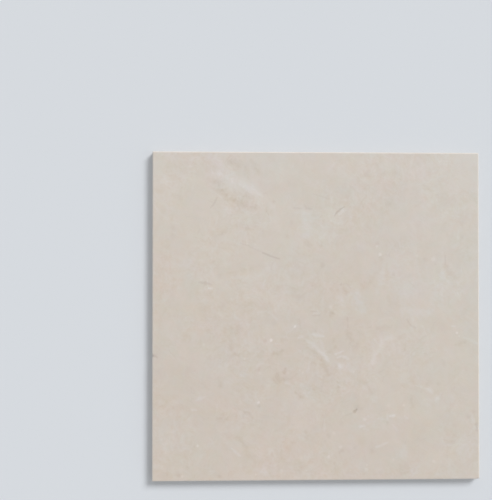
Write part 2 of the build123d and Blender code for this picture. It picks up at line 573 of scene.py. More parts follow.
@dataclass(frozen=True)
class CreamMarble:
    """The stone itself: a cream ground, its mottling, the figure's marks, and painted light that makes the
    ground lighter and cooler towards the top right.

    Args:
        ground: the ground's linear colour in the middle of the face.
        painted_light_gradient: painted light that makes the ground lighter and cooler away from there,
            chiefly towards
        the top right, as the shares that X, Y, X squared and Y squared add to red, green and blue, where 1
        is half the face.
        reach_mm: half the face.
        mottles: the layers of its unevenness.
        tone_hue: what a paler place adds to red, green and blue, since paler stone is cooler.
        blush_hue: what a rosier place adds to them.
        olive_hue: what a greener place adds to them.
        patch_mm: how wide the patches are in which its finer layers are stronger or weaker.
        fibre_mm: how long, how broad and how thick the fibres of its veins are.
        fibre_deg: which way they run.
        fibre_tone: how much they show in the ground, as a share.
        flecks_mm: the size of the cells that each hold at most one shell fleck.
        flecks: the flecks' minerals, each with its share of luck and its largest half width, in cells.
        fleck_strength: how much a fleck changes the ground, as a share.
        cracks: the nets of healed cracks.
        mottle_bend: what bends the mottling.
        fleck_bend: what bends the flecks.
        crack_bend: what bends the cracks.
        bed_shear: how far a vein leans as it goes down, along X and Y for each unit of depth.
    """

    ground: tuple[float, float, float] = (0.612, 0.549, 0.486)
    # Painted light: the ground is made lighter and cooler towards the top right, standing in for how the
    # light falls there
    painted_light_gradient: tuple[tuple[float, float, float], ...] = (
        (0.002, 0.017, 0.028), (0.017, 0.034, 0.048), (0.001, 0.011, 0.011), (0.018, 0.022, 0.030),
    )
    reach_mm: float = 150.0
    mottles: tuple[Mottle, ...] = (
        Mottle(120.0, 0.019, 0.012, 0.006, 0.0, (3.1, 7.7, 1.9)),
        Mottle(44.0, 0.027, 0.022, 0.012, 1.0, (11.3, 2.2, 5.1)),
        Mottle(16.0, 0.033, 0.028, 0.018, 1.0, (4.6, 19.4, 8.3)),
        Mottle(6.0, 0.039, 0.022, 0.014, 1.0, (27.5, 6.8, 2.6)),
        Mottle(2.2, 0.033, 0.010, 0.006, 1.0, (9.9, 31.2, 14.7)),
    )
    tone_hue: tuple[float, float, float] = (0.62, 1.05, 1.65)
    blush_hue: tuple[float, float, float] = (0.95, 0.08, -0.30)
    olive_hue: tuple[float, float, float] = (-0.20, 0.80, -0.45)
    patch_mm: float = 38.0
    fibre_mm: tuple[float, float, float] = (8.0, 1.6, 5.0)
    fibre_deg: float = -36.0
    fibre_tone: float = 0.035
    flecks_mm: float = 11.0
    flecks: tuple[tuple[Mineral, float, float], ...] = (
        (Mineral.GRAIN, 0.55, 0.13), (Mineral.SPOT, 0.70, 0.10),
    )
    fleck_strength: float = 0.035
    cracks: tuple[Cracks, ...] = (
        Cracks(47.0, 0.45, 0.035, Mineral.CALCITE, (7.0, 3.0, 2.0)),
        Cracks(33.0, 0.30, 0.040, Mineral.HAIR, (1.0, 6.0, 8.0)),
    )
    mottle_bend: Bend = Bend(24.0, 16.0, 1.0, 0.5, (5.5, 1.5, 9.5))
    fleck_bend: Bend = Bend(4.0, 2.4, 1.0, 0.5, (2.0, 8.0, 3.0))
    crack_bend: Bend = Bend(20.0, 26.0, 3.0, 0.6, (1.0, 4.0, 6.0))
    bed_shear: tuple[float, float] = (0.7, -0.4)

    def build(self, face_height: float) -> bpy.types.NodeTree:
        """Makes the node group that every finish of the tile takes its stone from.

        Args:
            face_height: the polished face's height, where the marks have their stated places.

        Returns:
            A group that gives the stone's colour.
        """
        group = bpy.data.node_groups.new("cream_marble_stone", "ShaderNodeTree")
        group.interface.new_socket("Colour", in_out="OUTPUT", socket_type="NodeSocketColor")
        stone = StoneWiring(group, face_height)
        # painted light, not a colour of the stone
        self._paint_light_gradient(stone)
        self._mottling(stone)
        self._flecks(stone)
        self._cracks(stone)
        noise = MarkNoise(
            stray=stone.cloud(stone.point, 9.0, detail=2.0, shift=(8.0, 5.0, 1.0), output="Color"),
            lumps=stone.cloud(stone.point, 3.4, detail=2.0, shift=(6.0, 2.0, 7.0)),
            fibres=self._fibres(stone, 1.0),
        )
        for mineral in Mineral:
            self._marks(stone, noise, mineral)
        colour = stone.vector("MULTIPLY", stone.change, self.ground)
        stone.node("NodeGroupOutput", {"Colour": colour})
        return group

    def _paint_light_gradient(self, stone: StoneWiring) -> None:
        """Adds painted light: the ground is made lighter and cooler towards the top right, standing in for
        how the light falls.

        Args:
            stone: the wiring that it is added to.
        """
        across = stone.scaled(stone.point, 1.0 / self.reach_mm)
        squared = stone.vector("MULTIPLY", across, across)
        along_x, along_y, along_xx, along_yy = self.painted_light_gradient
        for source, first, second in ((across, along_x, along_y), (squared, along_xx, along_yy)):
            x, y, _ = stone.parts("ShaderNodeSeparateXYZ", source)
            stone.add(first, x)
            stone.add(second, y)

    def _mottling(self, stone: StoneWiring) -> None:
        """Adds the ground's unevenness, from broad clouds down to grain, and its fibres.

        Args:
            stone: the wiring that it is added to.
        """
        bent = self.mottle_bend.build(stone)
        patches = stone.cloud(stone.point, self.patch_mm, detail=1.0, shift=(6.5, 3.5, 8.5))
        lively = stone.span(patches, 0.40, 0.62, 0.6, 1.6)
        for layer in self.mottles:
            lumps = stone.cloud(bent, layer.size_mm, layer.detail, 0.55, layer.start, "Color")
            tones, blushes, olives = stone.parts("ShaderNodeSeparateColor", lumps)
            tone = stone.math("MULTIPLY_ADD", tones, 2.0 * layer.tone, -layer.tone)
            if layer.size_mm < self.patch_mm / 4.0:
                tone = stone.math("MULTIPLY", tone, lively)
            stone.add(self.tone_hue, tone)
            stone.add(self.blush_hue, stone.math("MULTIPLY_ADD", blushes, 2.0 * layer.blush, -layer.blush))
            stone.add(self.olive_hue, stone.math("MULTIPLY_ADD", olives, 2.0 * layer.olive, -layer.olive))
        fibres = self._fibres(stone, 1.25)
        there = stone.cloud(stone.point, 21.0, detail=1.0, shift=(2.5, 9.5, 4.5))
        share = stone.span(there, 0.46, 0.66, 0.0, 2.0 * self.fibre_tone)
        stone.add(self.tone_hue, stone.math("MULTIPLY", stone.math("SUBTRACT", fibres, 0.5), share))

    def _fibres(self, stone: StoneWiring, size: float) -> bpy.types.NodeSocket:
        """Noise drawn out into fibres that run the way of the veins.

        Args:
            stone: the wiring that it goes into.
            size: how large the fibres are, against fibre_mm.

        Returns:
            The noise, which averages a half.
        """
        given = {"Vector": stone.point, "Rotation": (0.0, 0.0, math.radians(self.fibre_deg)),
                 "Scale": [size * length for length in self.fibre_mm]}
        turned = stone.node("ShaderNodeMapping", given, vector_type="TEXTURE").outputs["Vector"]
        return stone.cloud(turned, 1.0, detail=2.0, shift=(4.0, 7.0, 1.0))

    def _flecks(self, stone: StoneWiring) -> None:
        """Adds small scattered shell flecks, pale and dark.

        Args:
            stone: the wiring that they are added to.
        """
        sized = stone.scaled(self.fleck_bend.build(stone), 1.0 / self.flecks_mm)
        cells = stone.node("ShaderNodeTexVoronoi", {"Vector": sized, "Scale": 1.0}, feature="F1").outputs
        lucks = stone.parts("ShaderNodeSeparateColor", cells["Color"])
        for luck, (mineral, least, widest) in zip(lucks, self.flecks):
            size = stone.span(luck, least, 1.0, 0.0, widest, smooth=False)
            inside = stone.math("SUBTRACT", size, cells["Distance"])
            stone.add(mineral.value.shift, stone.span(inside, 0.0, 0.06, 0.0, self.fleck_strength))

    def _cracks(self, stone: StoneWiring) -> None:
        """Adds faint healed cracks, each showing only along part of its way.

        Args:
            stone: the wiring that they are added to.
        """
        bent = self.crack_bend.build(stone)
        for net in self.cracks:
            sized = stone.vector("ADD", stone.scaled(bent, 1.0 / net.size_mm), net.start)
            given = {"Vector": sized, "Scale": 1.0}
            cells = stone.node("ShaderNodeTexVoronoi", given, feature="DISTANCE_TO_EDGE").outputs
            width = net.width_mm / net.size_mm
            near = stone.span(cells["Distance"], 2.2 * width, 0.3 * width)
            luck = stone.cloud(stone.point, 18.0, detail=2.0, shift=net.start)
            cover = stone.math("MULTIPLY", near, stone.span(luck, 0.52, 0.66, 0.0, net.strength))
            stone.add(net.mineral.value.shift, cover)

    def _marks(self, stone: StoneWiring, noise: MarkNoise, mineral: Mineral) -> None:
        """Adds the placed marks of one mineral.

        Args:
            stone: the wiring that they are added to.
            noise: what makes the marks uneven.
            mineral: the mineral whose marks are drawn.
        """
        look = mineral.value
        depth = stone.vector("DOT_PRODUCT", stone.point, UP)
        lean = (*self.bed_shear, look.upright - 1.0)
        leaned = stone.vector("ADD", stone.scaled(lean, depth), stone.point)
        centred = stone.vector("SUBTRACT", noise.stray, (0.5, 0.5, 0.5))
        here = stone.vector("ADD", stone.scaled(centred, 2.0 * look.wander_mm), leaned)
        broken = noise.fibres if look.streaky > 0.3 else noise.lumps
        rim = stone.math("MULTIPLY_ADD", broken, 2.0 * look.ragged, -look.ragged)
        given = {"Point": here, "Rim": rim, "Outer": look.outer, "Inner": look.inner, "So far": 0.0}
        for one in FIGURE[mineral]:
            straight = len(one.route) > 1
            group = drawing_group(straight)
            for (x, y, width), (next_x, next_y, next_width) in zip(one.route, one.route[1:] or one.route):
                given |= {"Start": (x, y, 0.0), "Half width": width, "Strength": one.strength}
                if straight:
                    run = Vector((next_x - x, next_y - y, 0.0))
                    given |= {"Run": run, "Run by length squared": run / run.length_squared,
                              "Widening": next_width - width}
                piece = stone.node("ShaderNodeGroup", node_tree=group)
                for target in piece.inputs:
                    stone.feed(target, given[target.name])
                given["So far"] = piece.outputs["Drawn"]
        drawn = given["So far"]
        if look.streaky > 0.0:
            broken = stone.span(noise.fibres, 0.34, 0.60, 1.0 - look.streaky, 1.1)
            drawn = stone.math("MULTIPLY", drawn, broken)
        stone.add(look.shift, drawn)


# The linear colour of marble that fine scratches have whitened, which on the arris is also a painted
# highlight, and how strongly marble bends light
WHITENED_AND_HIGHLIGHT = (0.78, 0.735, 0.68, 1.0)
MARBLE_IOR = 1.5


class Wear(Enum):
    """How a surface of the tile was left by the works."""

    POLISHED = "polished"
    GROUND = "ground"
    SAWN = "sawn"
    CALIBRATED = "calibrated"


@dataclass(frozen=True)
class StoneFinish:
    """One surface finish of the tile, over the same stone.

    Args:
        name: the material's name.
        wear: how the surface was left.
        dust_and_highlight: how far the stone is whitened by fine scratches, from 0 to 1; on the arris it is
            partly a painted highlight, so the edge shows as a light line even where it faces away from the
            light.
        roughness: how dull it is.
        unevenness: how much the dullness varies.
        relief_mm: how deep its fine relief is.
    """

    name: str
    wear: Wear
    dust_and_highlight: float
    roughness: float
    unevenness: float
    relief_mm: float

    def build(self, stone: bpy.types.NodeTree) -> bpy.types.Material:
        """Makes the material.

        Args:
            stone: the group that gives the stone's colour.

        Returns:
            The material.
        """
        material = bpy.data.materials.new(self.name)
        material.use_nodes = True
        wiring = Wiring(material.node_tree)
        shader = material.node_tree.nodes["Principled BSDF"]
        place = wiring.node("ShaderNodeTexCoord").outputs["Object"]
        point = wiring.scaled(place, 1.0 / MM)
        marble = wiring.node("ShaderNodeGroup", node_tree=stone).outputs["Colour"]
        height, patches = self._relief(wiring, point)
        # on the arris this whitening is partly a painted highlight
        share = wiring.span(patches, 0.3, 0.7, 0.6 * self.dust_and_highlight, self.dust_and_highlight)
        whitened = wiring.node("ShaderNodeMix", data_type="RGBA", blend_type="MIX")
        low, high = self.roughness - self.unevenness, self.roughness + self.unevenness
        relief = {"Height": height, "Strength": 1.0, "Distance": self.relief_mm * MM}
        for target, value in (
            (whitened.inputs["Factor"], share),
            (whitened.inputs["A"], marble),
            (whitened.inputs["B"], WHITENED_AND_HIGHLIGHT),
            (shader.inputs["Base Color"], whitened.outputs["Result"]),
            (shader.inputs["Roughness"], wiring.span(patches, 0.25, 0.75, low, high)),
            (shader.inputs["Normal"], wiring.node("ShaderNodeBump", relief).outputs["Normal"]),
            (shader.inputs["IOR"], MARBLE_IOR),
        ):
            wiring.feed(target, value)
        return material

    def _relief(self, wiring: Wiring, point: bpy.types.NodeSocket) -> tuple[object, object]:
        """The finish's own fine relief and its patches of duller surface.

        Args:
            wiring: where the nodes go.
            point: the place in the stone, in millimetres.

        Returns:
            The relief's height, as a share of relief_mm, and the patches, both near a half.
        """
        if self.wear is Wear.POLISHED:
            ripple = wiring.cloud(point, 38.0, detail=2.0, shift=(3.0, 3.0, 3.0))
            return ripple, wiring.cloud(point, 9.0, detail=4.0, roughness=0.6)
        if self.wear is Wear.GROUND:
            return wiring.cloud(point, 0.8, detail=3.0), wiring.cloud(point, 5.0, detail=3.0)
        stretch = (1.0 / 26.0, 1.0, 1.0) if self.wear is Wear.CALIBRATED else (1.0, 1.0, 1.0 / 18.0)
        drawn_out = wiring.vector("MULTIPLY", point, stretch)
        lines = wiring.cloud(drawn_out, 0.9, detail=2.0, roughness=0.6)
        pores = wiring.cloud(point, 1.1, detail=3.0)
        height = wiring.math("MULTIPLY_ADD", pores, 0.35, wiring.math("MULTIPLY", lines, 0.65))
        return height, wiring.cloud(drawn_out, 5.0, detail=3.0)


POLISHED_FACE = StoneFinish("polished_marble_face", Wear.POLISHED, 0.0, 0.20, 0.04, 0.05)
# The arris's paleness is partly real whitening of ground stone and partly a painted highlight. It makes a
# light line round the face, also on the sides turned away from the light
GROUND_ARRIS_WITH_HIGHLIGHT = StoneFinish("ground_marble_arris_with_highlight", Wear.GROUND, 0.80, 0.42, 0.06, 0.03)
SAWN_EDGE = StoneFinish("sawn_marble_edge", Wear.SAWN, 0.28, 0.68, 0.08, 0.10)
CALIBRATED_BACK = StoneFinish("calibrated_marble_back", Wear.CALIBRATED, 0.34, 0.74, 0.08, 0.12)
FINISHES = (POLISHED_FACE, GROUND_ARRIS_WITH_HIGHLIGHT, SAWN_EDGE, CALIBRATED_BACK)


@dataclass(frozen=True)
class Pit:
    """A natural pit in the polished face.

    Args:
        x_mm: its middle along X.
        y_mm: its middle along Y.
        long_mm: its longer half width.
        short_mm: its shorter half width.
        turn_deg: which way its longer side points.
        depth_mm: how deep it is.
    """

    x_mm: float
    y_mm: float
    long_mm: float
    short_mm: float
    turn_deg: float
    depth_mm: float


@dataclass(frozen=True)
class Chip:
    """A small piece broken out of an edge.

    Args:
        x_mm: its middle along X.
        y_mm: its middle along Y.
        z_mm: its middle above the back.
        reach_mm: how far it reaches along the edge each way.
        bite_mm: how much stone is gone at its middle.
    """

    x_mm: float
    y_mm: float
    z_mm: float
    reach_mm: float
    bite_mm: float


def finished_piece(name: str, shape: bmesh.types.BMesh,
                   finishes: list[bpy.types.Material]) -> bpy.types.Object:
    """Makes an object from a shape and puts it into the scene.

    Args:
        name: the object's name, and its mesh's.
        shape: the shape, which is freed.
        finishes: its materials.

    Returns:
        The object, at the origin, with its place in its mesh.
    """
    mesh = bpy.data.meshes.new(name)
    shape.to_mesh(mesh)
    shape.free()
    for finish in finishes:
        mesh.materials.append(finish)
    piece = bpy.data.objects.new(name, mesh)
    bpy.context.scene.collection.objects.link(piece)
    return piece


@dataclass
class MarbleTile:
    """The tile: polished face, ground arris, sawn edges and calibrated back, in one piece.

    Args:
        node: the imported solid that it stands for.
        arris: how far the arris reaches over the face and down the edge.
        ease: how far the arris's two lines are rubbed round.
        step: the spacing of the points along each edge.
        rows: how many rows of points go down a sawn edge.
        rim: the fine border of the face and of the back, inside the arris.
        face_step: the spacing of the points over the face.
        line_step: the spacing of the grinding lines over the back.
        line_bow: how far those lines bow, in millimetres for each square millimetre along them.
        back_columns: how many columns of points the back has.
        saw_depth: how deep the blade's marks are.
        saw_bow: how far the blade's marks bow, in millimetres for each square millimetre up the edge.
        saw_fade: how far up an edge its marks take to reach their full depth.
        arris_waver: how deep the arris's slow and its fine unevenness are.
        grind_depth: how deep the grinding lines are.
        pits: the natural pits of the face.
        pit_points: how many points each ring of a pit has.
        pit_rings: how far each ring of a pit steps inwards and down, as shares of its short half width
            and of its depth.
        pit_ragged: how far a pit's outline strays from an oval, as a share.
        chips: the pieces broken out of the edges.
        sharp_deg: the angle past which an edge between two faces is sharp.
    """

    node: str
    arris: float = 0.8 * MM
    ease: float = 0.12 * MM
    step: float = 0.6 * MM
    rows: int = 8
    rim: float = 0.9 * MM
    face_step: float = 6.0 * MM
    line_step: float = 1.6 * MM
    line_bow: float = 0.00036
    back_columns: int = 28
    saw_depth: float = 0.05 * MM
    saw_bow: float = 0.012
    saw_fade: float = 1.5 * MM
    arris_waver: tuple[float, float] = (0.05 * MM, 0.015 * MM)
    grind_depth: float = 0.12 * MM
    pits: tuple[Pit, ...] = (
        Pit(36.1, -88.0, 1.9, 1.1, 40.0, 0.14),
        Pit(-15.8, -75.2, 0.6, 0.4, 60.0, 0.12),
        Pit(88.6, 114.2, 0.4, 0.3, 10.0, 0.12),
        Pit(-121.4, -58.6, 0.4, 0.3, 70.0, 0.12),
        Pit(117.3, -139.1, 0.5, 0.3, 35.0, 0.14),
    )
    pit_points: int = 22
    pit_rings: tuple[tuple[float, float], ...] = ((0.12, 0.45), (0.22, 0.35), (0.25, 0.15))
    pit_ragged: float = 0.28
    chips: tuple[Chip, ...] = (
        Chip(151.4, -152.5, 9.8, 1.6, 0.75),
        Chip(152.5, -105.3, 9.9, 1.4, 0.5),
        Chip(-152.5, -37.0, 9.9, 1.8, 0.6),
        Chip(-61.0, -152.5, 10.0, 1.2, 0.35),
        Chip(84.0, -152.5, 10.0, 1.0, 0.3),
        Chip(-152.5, 96.0, 10.0, 1.0, 0.3),
        Chip(38.0, 152.5, 10.0, 1.1, 0.35),
        Chip(152.5, 61.0, 10.0, 0.9, 0.3),
        Chip(-118.0, 152.5, 10.0, 0.9, 0.25),
        Chip(-24.0, -152.5, 0.0, 2.6, 0.9),
        Chip(118.0, -152.5, 0.0, 1.8, 0.7),
        Chip(152.5, -14.0, 0.0, 2.2, 0.8),
        Chip(152.5, 132.0, 0.0, 1.7, 0.6),
        Chip(64.0, 152.5, 0.0, 2.4, 0.8),
        Chip(-97.0, 152.5, 0.0, 1.9, 0.7),
        Chip(-152.5, 22.0, 0.0, 2.3, 0.9),
        Chip(-152.5, -128.0, 0.0, 1.6, 0.6),
    )
    sharp_deg: float = 30.0
    low: Vector = field(init=False)
    high: Vector = field(init=False)

    def __post_init__(self) -> None:
        """Takes the tile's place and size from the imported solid."""
        self.low, self.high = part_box(self.node)

    def build(self, finishes: list[bpy.types.Material]) -> bpy.types.Object:
        """Makes the tile's mesh and dresses it.

        Args:
            finishes: the materials, in the order of FINISHES.

        Returns:
            The tile's object, at the origin, with its place in its mesh.
        """
        shape = bmesh.new()
        self._sawn_blank(shape)
        self._grind_arris(shape)
        self._draw_rims(shape)
        self._divide_edges(shape)
        self._mark_by_saw(shape)
        self._knock_chips(shape)
        self._lay_face(shape)
        self._lay_back(shape)
        bmesh.ops.remove_doubles(shape, verts=shape.verts, dist=SAME_PLACE)
        bmesh.ops.recalc_face_normals(shape, faces=shape.faces)
        self._sort_finishes(shape)
        self._map_for_baking(shape)
        return finished_piece("tile_slab", shape, finishes)

    def _sawn_blank(self, shape: bmesh.types.BMesh) -> None:
        """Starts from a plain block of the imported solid's size.

        Args:
            shape: the mesh, still empty.
        """
        size = self.high - self.low
        place = Matrix.Translation((self.high + self.low) / 2.0) @ Matrix.Diagonal(size).to_4x4()
        bmesh.ops.create_cube(shape, size=1.0, matrix=place)

    def _level_edges(self, shape: bmesh.types.BMesh, height: float) -> list[bmesh.types.BMEdge]:
        """The edges that lie level at one height."""
        return [e for e in shape.edges if all(abs(v.co.z - height) < SAME_PLACE for v in e.verts)]

    def _grind_arris(self, shape: bmesh.types.BMesh) -> None:
        """Grinds the arris round the face, and rubs its two lines round.

        Args:
            shape: the mesh, a plain block so far.
        """
        top = self.high.z
        for heights, offset, segments in (((top,), self.arris, 1), ((top, top - self.arris), self.ease, 2)):
            lines = [e for height in heights for e in self._level_edges(shape, height)]
            bmesh.ops.bevel(shape, geom=lines, offset=offset, offset_type="OFFSET", segments=segments,
                            profile=0.5, affect="EDGES", material=-1)

    def _draw_rims(self, shape: bmesh.types.BMesh) -> None:
        """Draws fine borders inside the face and the back, for chips to bite into, and opens the rest.

        Args:
            shape: the mesh, with its arris ground.
        """
        for facing in (1.0, -1.0):
            flat = [f for f in shape.faces if f.normal.z * facing > 0.999]
            middle = max(flat, key=lambda f: f.calc_area())
            for share in (0.4, 0.6):
                bmesh.ops.inset_region(shape, faces=[middle], thickness=share * self.rim,
                                       use_even_offset=True, use_boundary=True)
            bmesh.ops.delete(shape, geom=[middle], context="FACES_ONLY")

    def _divide_edges(self, shape: bmesh.types.BMesh) -> None:
        """Divides the sawn edges into rows, and everything along the edges into fine steps.

        Args:
            shape: the mesh, with its fine borders drawn.
        """
        reach = self.high.z - self.low.z - self.arris
        tall = [e for e in shape.edges if abs(e.verts[0].co.z - e.verts[1].co.z) > 0.8 * reach]
        bmesh.ops.subdivide_edges(shape, edges=tall, cuts=self.rows - 1, use_grid_fill=True)
        side = self.high.x - self.low.x
        long = [e for e in shape.edges if e.calc_length() > 0.9 * side]
        bmesh.ops.subdivide_edges(shape, edges=long, cuts=round(side / self.step) - 1, use_grid_fill=True)

    def _mark_by_saw(self, shape: bmesh.types.BMesh) -> None:
        """Presses the blade's slightly curved marks into the sawn edges, and makes the arris uneven.

        Args:
            shape: the mesh, with its edges divided.
        """
        inner_x = self.high.x - SAME_PLACE
        inner_y = self.high.y - SAME_PLACE
        arris_foot = self.high.z - self.low.z - 1.1 * self.arris
        slow_waver, fine_waver = self.arris_waver
        for vert in shape.verts:
            at = vert.co.copy()
            height = at.z - self.low.z
            on_x = abs(at.x) > inner_x
            on_y = abs(at.y) > inner_y
            if on_x or on_y:
                along = at.y if on_x else at.x
                side = 10.0 * math.copysign(1.0, at.x if on_x else at.y) + (3.0 if on_x else 0.0)
                bowed = along / MM + self.saw_bow * (height / MM) ** 2
                wave = noise.noise(Vector((bowed / 1.7, side, height / (40.0 * MM))))
                slow = noise.noise(Vector((bowed / 9.0, side + 5.0, 0.0)))
                press = self.saw_depth * (0.5 + 0.5 * wave + 0.5 * slow)
                inward = Vector((-math.copysign(press, at.x) if on_x else 0.0,
                                 -math.copysign(press, at.y) if on_y else 0.0, 0.0))
                vert.co += inward * min(1.0, height / self.saw_fade)
            elif height > arris_foot and at.z < self.high.z - SAME_PLACE:
                uneven = noise.noise(Vector((at.x / (7.0 * MM), at.y / (7.0 * MM), 2.0)))
                fine = noise.noise(Vector((at.x / (1.3 * MM), at.y / (1.3 * MM), 7.0)))
                vert.co.z -= slow_waver * (0.5 + uneven) + fine_waver * fine

    def _knock_chips(self, shape: bmesh.types.BMesh) -> None:
        """Breaks the small chips out of the edges, each a shallow scallop with an uneven floor.

        Args:
            shape: the mesh, with its edges divided.
        """
        middle = (self.low + self.high) / 2.0
        for number, chip in enumerate(self.chips):
            heart = Vector((chip.x_mm * MM, chip.y_mm * MM, self.low.z + chip.z_mm * MM))
            inward = Vector([math.copysign(1.0, way) for way in middle - heart])
            inward.x *= abs(heart.x) > self.high.x - 2.0 * MM
            inward.y *= abs(heart.y) > self.high.y - 2.0 * MM
            inward.normalize()
            for vert in shape.verts:
                reach = (vert.co - heart).length / (chip.reach_mm * MM)
                if reach < 1.0:
                    rough = noise.noise(vert.co / (0.7 * MM) + Vector((number, 0.0, 0.0)))
                    bite = chip.bite_mm * MM * (1.0 - reach * reach) * (1.0 + 0.45 * rough)
                    vert.co += inward * bite

    def _open_loop(self, shape: bmesh.types.BMesh, height: float) -> list[bmesh.types.BMEdge]:
        """The open edges of the shape at about one height, also where a chip has moved them."""
        close = 0.2 * (self.high.z - self.low.z)
        return [e for e in shape.edges
                if e.is_boundary and all(abs(v.co.z - height) < close for v in e.verts)]

    def _sheet(self, shape: bmesh.types.BMesh, height: float, margin: float, across: int,
               up: int) -> list[bmesh.types.BMVert]:
        """Lays a grid of points at one height, inside the rim.

        Args:
            shape: the mesh that it goes into.
            height: the grid's height.
            margin: how far it stays inside the tile's sides.
            across: how many steps it has along X.
            up: how many steps it has along Y.

        Returns:
            The grid's points.
        """
        half_x = (self.high.x - self.low.x) / 2.0 - margin
        half_y = (self.high.y - self.low.y) / 2.0 - margin
        place = Matrix.Translation((0.0, 0.0, height)) @ Matrix.Diagonal((half_x, half_y, 1.0, 1.0))
        grid = bmesh.ops.create_grid(shape, x_segments=across, y_segments=up, size=1.0, matrix=place)
        return grid["verts"]

    def _join(self, shape: bmesh.types.BMesh, rim_loop: list[bmesh.types.BMEdge],
              grid: set[bmesh.types.BMVert], height: float, facing: Vector) -> set[bmesh.types.BMVert]:
        """Fills the gap between a rim and the grid laid inside it.

        Args:
            shape: the mesh that holds both.
            rim_loop: the rim's open edges.
            grid: the grid's points.
            height: the grid's height.
            facing: which way the new faces look.

        Returns:
            The points of the grid's own border.
        """
        inner_loop = [e for e in self._open_loop(shape, height) if e.verts[0] in grid]
        border = {v for e in inner_loop for v in e.verts}
        bmesh.ops.triangle_fill(shape, edges=rim_loop + inner_loop, use_beauty=True, normal=facing)
        return border

    def _lay_face(self, shape: bmesh.types.BMesh) -> None:
        """Lays the polished face inside its rim, and sinks the natural pits into it.

        Args:
            shape: the mesh, still open inside the face's rim.
        """
        top = self.high.z
        rim_loop = self._open_loop(shape, top)
        side = self.high.x - self.low.x
        margin = self.arris + self.rim + 0.7 * self.face_step
        steps = round((side - 2.0 * margin) / self.face_step)
        grid = self._sheet(shape, top, margin, steps, steps)
        self._join(shape, rim_loop, set(grid), top, UP)
        for number, pit in enumerate(self.pits):
            self._sink_pit(shape, pit, number)

    def _sink_pit(self, shape: bmesh.types.BMesh, pit: Pit, number: int) -> None:
        """Cuts one pit into the face.

        Args:
            shape: the mesh, whose face is already laid.
            pit: the pit.
            number: which pit it is, so that no two have the same outline.
        """
        top = self.high.z
        heart = Vector((pit.x_mm * MM, pit.y_mm * MM, top))
        clear = pit.long_mm * MM + 0.4 * self.face_step
        near = [f for f in shape.faces
                if all(abs(v.co.z - top) < SAME_PLACE for v in f.verts)
                and any((v.co - heart).length < clear for v in f.verts) or self._covers(f, heart, top)]
        bmesh.ops.delete(shape, geom=near, context="FACES")
        turn = Matrix.Rotation(math.radians(pit.turn_deg), 4, "Z")
        stretch = Matrix.Diagonal((pit.long_mm * MM, pit.short_mm * MM, 1.0, 1.0))
        ring = bmesh.ops.create_circle(shape, cap_ends=True, segments=self.pit_points, radius=1.0,
                                       matrix=Matrix.Translation(heart) @ turn @ stretch)["verts"]
        for vert in ring:
            out = vert.co - heart
            uneven = noise.noise(out.normalized() * 1.8 + Vector((number * 3.0, 0.0, 0.0)))
            vert.co = heart + out * (1.0 + self.pit_ragged * uneven)
        floor = ring[0].link_faces[0]
        for share_in, share_down in self.pit_rings:
            down = -math.copysign(share_down * pit.depth_mm * MM, floor.normal.z)
            bmesh.ops.inset_region(shape, faces=[floor], thickness=share_in * pit.short_mm * MM,
                                   depth=down, use_even_offset=False, use_boundary=True)
        bmesh.ops.triangle_fill(shape, edges=self._open_loop(shape, top), use_beauty=True, normal=UP)

    def _covers(self, face: bmesh.types.BMFace, point: Vector, height: float) -> bool:
        """Whether a flat face at this height lies over a point.

        Args:
            face: the face.
            point: the point, of which only X and Y count.
            height: the height that all of the face has to lie at.

        Returns:
            True where the face is at that height and its box holds the point.
        """
        if any(abs(v.co.z - height) > SAME_PLACE for v in face.verts):
            return False
        xs = [v.co.x for v in face.verts]
        ys = [v.co.y for v in face.verts]
        return min(xs) <= point.x <= max(xs) and min(ys) <= point.y <= max(ys)

    def _lay_back(self, shape: bmesh.types.BMesh) -> None:
        """Lays the back inside its rim, with the parallel lines that calibrating ground into it.

        Args:
            shape: the mesh, still open inside the back's rim.
        """
        base = self.low.z
        rim_loop = self._open_loop(shape, base)
        side = self.high.x - self.low.x
        margin = self.rim + 2.0 * MM
        lines = round((side - 2.0 * margin) / (self.line_step / 2.0))
        grid = set(self._sheet(shape, base, margin, self.back_columns, lines))
        border = self._join(shape, rim_loop, grid, base, -UP)
        pitch = self.line_step / (2.0 * math.pi)
        for vert in grid - border:
            bow = self.line_bow * (vert.co.x / MM) ** 2 * MM
            line = 0.5 + 0.5 * math.cos((vert.co.y + bow) / pitch)
            worn = 0.6 + 0.5 * noise.noise(vert.co / (28.0 * MM))
            vert.co.z += self.grind_depth * line * worn

    def _sort_finishes(self, shape: bmesh.types.BMesh) -> None:
        """Gives each face of the mesh its finish, and keeps sharp lines sharp.

        Args:
            shape: the whole mesh, closed.
        """
        inside = self.high.x - self.arris - 0.3 * MM
        pit_foot = self.high.z - 1.0 * MM
        arris_foot = self.high.z - 1.02 * self.arris
        for face in shape.faces:
            face.smooth = True
            at = face.calc_center_median()
            inner = max(abs(at.x), abs(at.y)) < inside
            if inner and at.z > pit_foot:
                finish = POLISHED_FACE
            elif at.z > arris_foot:
                finish = GROUND_ARRIS_WITH_HIGHLIGHT
            elif inner or face.normal.z < -0.7:
                finish = CALIBRATED_BACK
            else:
                finish = SAWN_EDGE
            face.material_index = FINISHES.index(finish)
        for edge in shape.edges:
            edge.smooth = edge.calc_face_angle(math.pi) < math.radians(self.sharp_deg)

